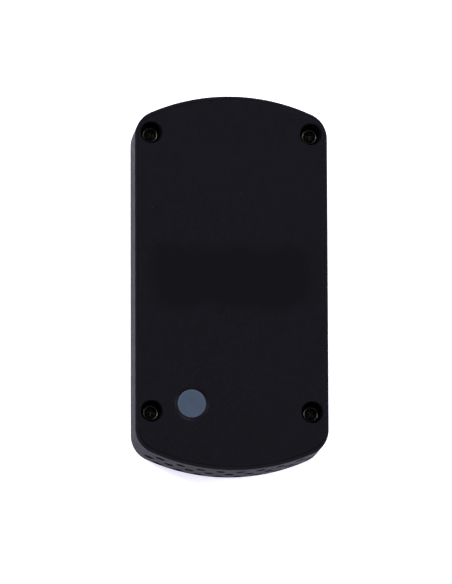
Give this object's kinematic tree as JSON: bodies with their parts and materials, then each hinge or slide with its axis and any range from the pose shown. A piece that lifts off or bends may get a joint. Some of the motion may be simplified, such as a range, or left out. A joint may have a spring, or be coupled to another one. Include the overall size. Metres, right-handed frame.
{
  "type": "electronic game caller",
  "caption": "Handheld electronic game caller: black moulded shell with curved ends, screwed back cover with a round blue-grey button, sound vents in the lower end, keys on the front.",
  "frame": {"origin": "middle of the resting face, under the centre of the body's box", "axes": "+Z out of the back cover, +Y along the body to the top end with the sockets, +X to the right as the back is seen with the top end up; the front lies down"},
  "size_m": [0.066, 0.129, 0.025],
  "materials": {
    "shell_black": "fine moulded texture, satin",
    "cover_black": "fine moulded texture, satin",
    "seal_rubber": "matte silicone",
    "screw_steel": "dark plated",
    "insert_brass": "machined",
    "button_blue_grey": "satin, slightly translucent",
    "board_green": "solder mask",
    "switch_metal": "tinned",
    "led_body": "clear resin",
    "key_light": "matte",
    "key_dark": "matte",
    "key_red": "matte",
    "lens_clear": "clear, polished",
    "chip_black": "moulded epoxy",
    "capacitor_can": "bright can",
    "plug_rubber": "soft matte",
    "jack_black": "moulded",
    "mesh_black": "woven acoustic mesh",
    "speaker_steel": "powder coat",
    "cone_paper": "pressed fibre",
    "coil_copper": "enamelled wire",
    "magnet_ferrite": "ferrite between plated discs",
    "battery_wrap": "shrink film",
    "pad_foam": "foam tape"
  },
  "bodies": {
    "housing": {"front_shell": "shell_black", "back_cover": "cover_black", "cover_gasket": "seal_rubber", "cover_screws": "screw_steel", "threaded_inserts": "insert_brass", "button_board": "board_green", "button_switch": "switch_metal", "button_led": "led_body", "button_board_screws": "screw_steel", "key_domes": "switch_metal", "status_lens": "lens_clear", "status_led": "led_body", "circuit_board": "board_green", "board_screws": "screw_steel", "processor_chip": "chip_black", "memory_chip": "chip_black", "amplifier_chip": "chip_black", "board_capacitors": "capacitor_can", "charge_socket": "switch_metal", "audio_jack": "jack_black", "grille_mesh": "mesh_black", "end_mesh": "mesh_black", "speaker_seal": "seal_rubber", "speaker_frame": "speaker_steel", "speaker_surround": "seal_rubber", "speaker_cone": "cone_paper", "speaker_dust_cap": "cone_paper", "voice_coil": "coil_copper", "speaker_magnet": "magnet_ferrite", "speaker_clips": "switch_metal", "speaker_screws": "screw_steel", "battery_pack": "battery_wrap", "battery_pad": "pad_foam"},
    "back_button": {"back_button": "button_blue_grey"},
    "sound_key_1": {"sound_key_1": "key_light"},
    "sound_key_2": {"sound_key_2": "key_light"},
    "sound_key_3": {"sound_key_3": "key_light"},
    "sound_key_4": {"sound_key_4": "key_light"},
    "sound_key_5": {"sound_key_5": "key_light"},
    "sound_key_6": {"sound_key_6": "key_light"},
    "volume_down_key": {"volume_down_key": "key_dark"},
    "power_key": {"power_key": "key_red"},
    "volume_up_key": {"volume_up_key": "key_dark"},
    "port_plug": {"port_plug": "plug_rubber"}
  },
  "joints": [
    {"name": "back_button_press", "type": "slide", "parent": "housing", "child": "back_button", "axis": [0, 0, -1], "range_m": [0, 0.0007], "stiffness_N_per_m": 1000},
    {"name": "sound_key_1_press", "type": "slide", "parent": "housing", "child": "sound_key_1", "axis": [0, 0, 1], "range_m": [0, 0.0007], "stiffness_N_per_m": 1000},
    {"name": "sound_key_2_press", "type": "slide", "parent": "housing", "child": "sound_key_2", "axis": [0, 0, 1], "range_m": [0, 0.0007], "stiffness_N_per_m": 1000},
    {"name": "sound_key_3_press", "type": "slide", "parent": "housing", "child": "sound_key_3", "axis": [0, 0, 1], "range_m": [0, 0.0007], "stiffness_N_per_m": 1000},
    {"name": "sound_key_4_press", "type": "slide", "parent": "housing", "child": "sound_key_4", "axis": [0, 0, 1], "range_m": [0, 0.0007], "stiffness_N_per_m": 1000},
    {"name": "sound_key_5_press", "type": "slide", "parent": "housing", "child": "sound_key_5", "axis": [0, 0, 1], "range_m": [0, 0.0007], "stiffness_N_per_m": 1000},
    {"name": "sound_key_6_press", "type": "slide", "parent": "housing", "child": "sound_key_6", "axis": [0, 0, 1], "range_m": [0, 0.0007], "stiffness_N_per_m": 1000},
    {"name": "volume_down_key_press", "type": "slide", "parent": "housing", "child": "volume_down_key", "axis": [0, 0, 1], "range_m": [0, 0.0007], "stiffness_N_per_m": 1000},
    {"name": "power_key_press", "type": "slide", "parent": "housing", "child": "power_key", "axis": [0, 0, 1], "range_m": [0, 0.0007], "stiffness_N_per_m": 1000},
    {"name": "volume_up_key_press", "type": "slide", "parent": "housing", "child": "volume_up_key", "axis": [0, 0, 1], "range_m": [0, 0.0007], "stiffness_N_per_m": 1000},
    {"name": "port_plug_pull", "type": "slide", "parent": "housing", "child": "port_plug", "axis": [0, 1, 0], "range_m": [0, 0.006]}
  ]
}
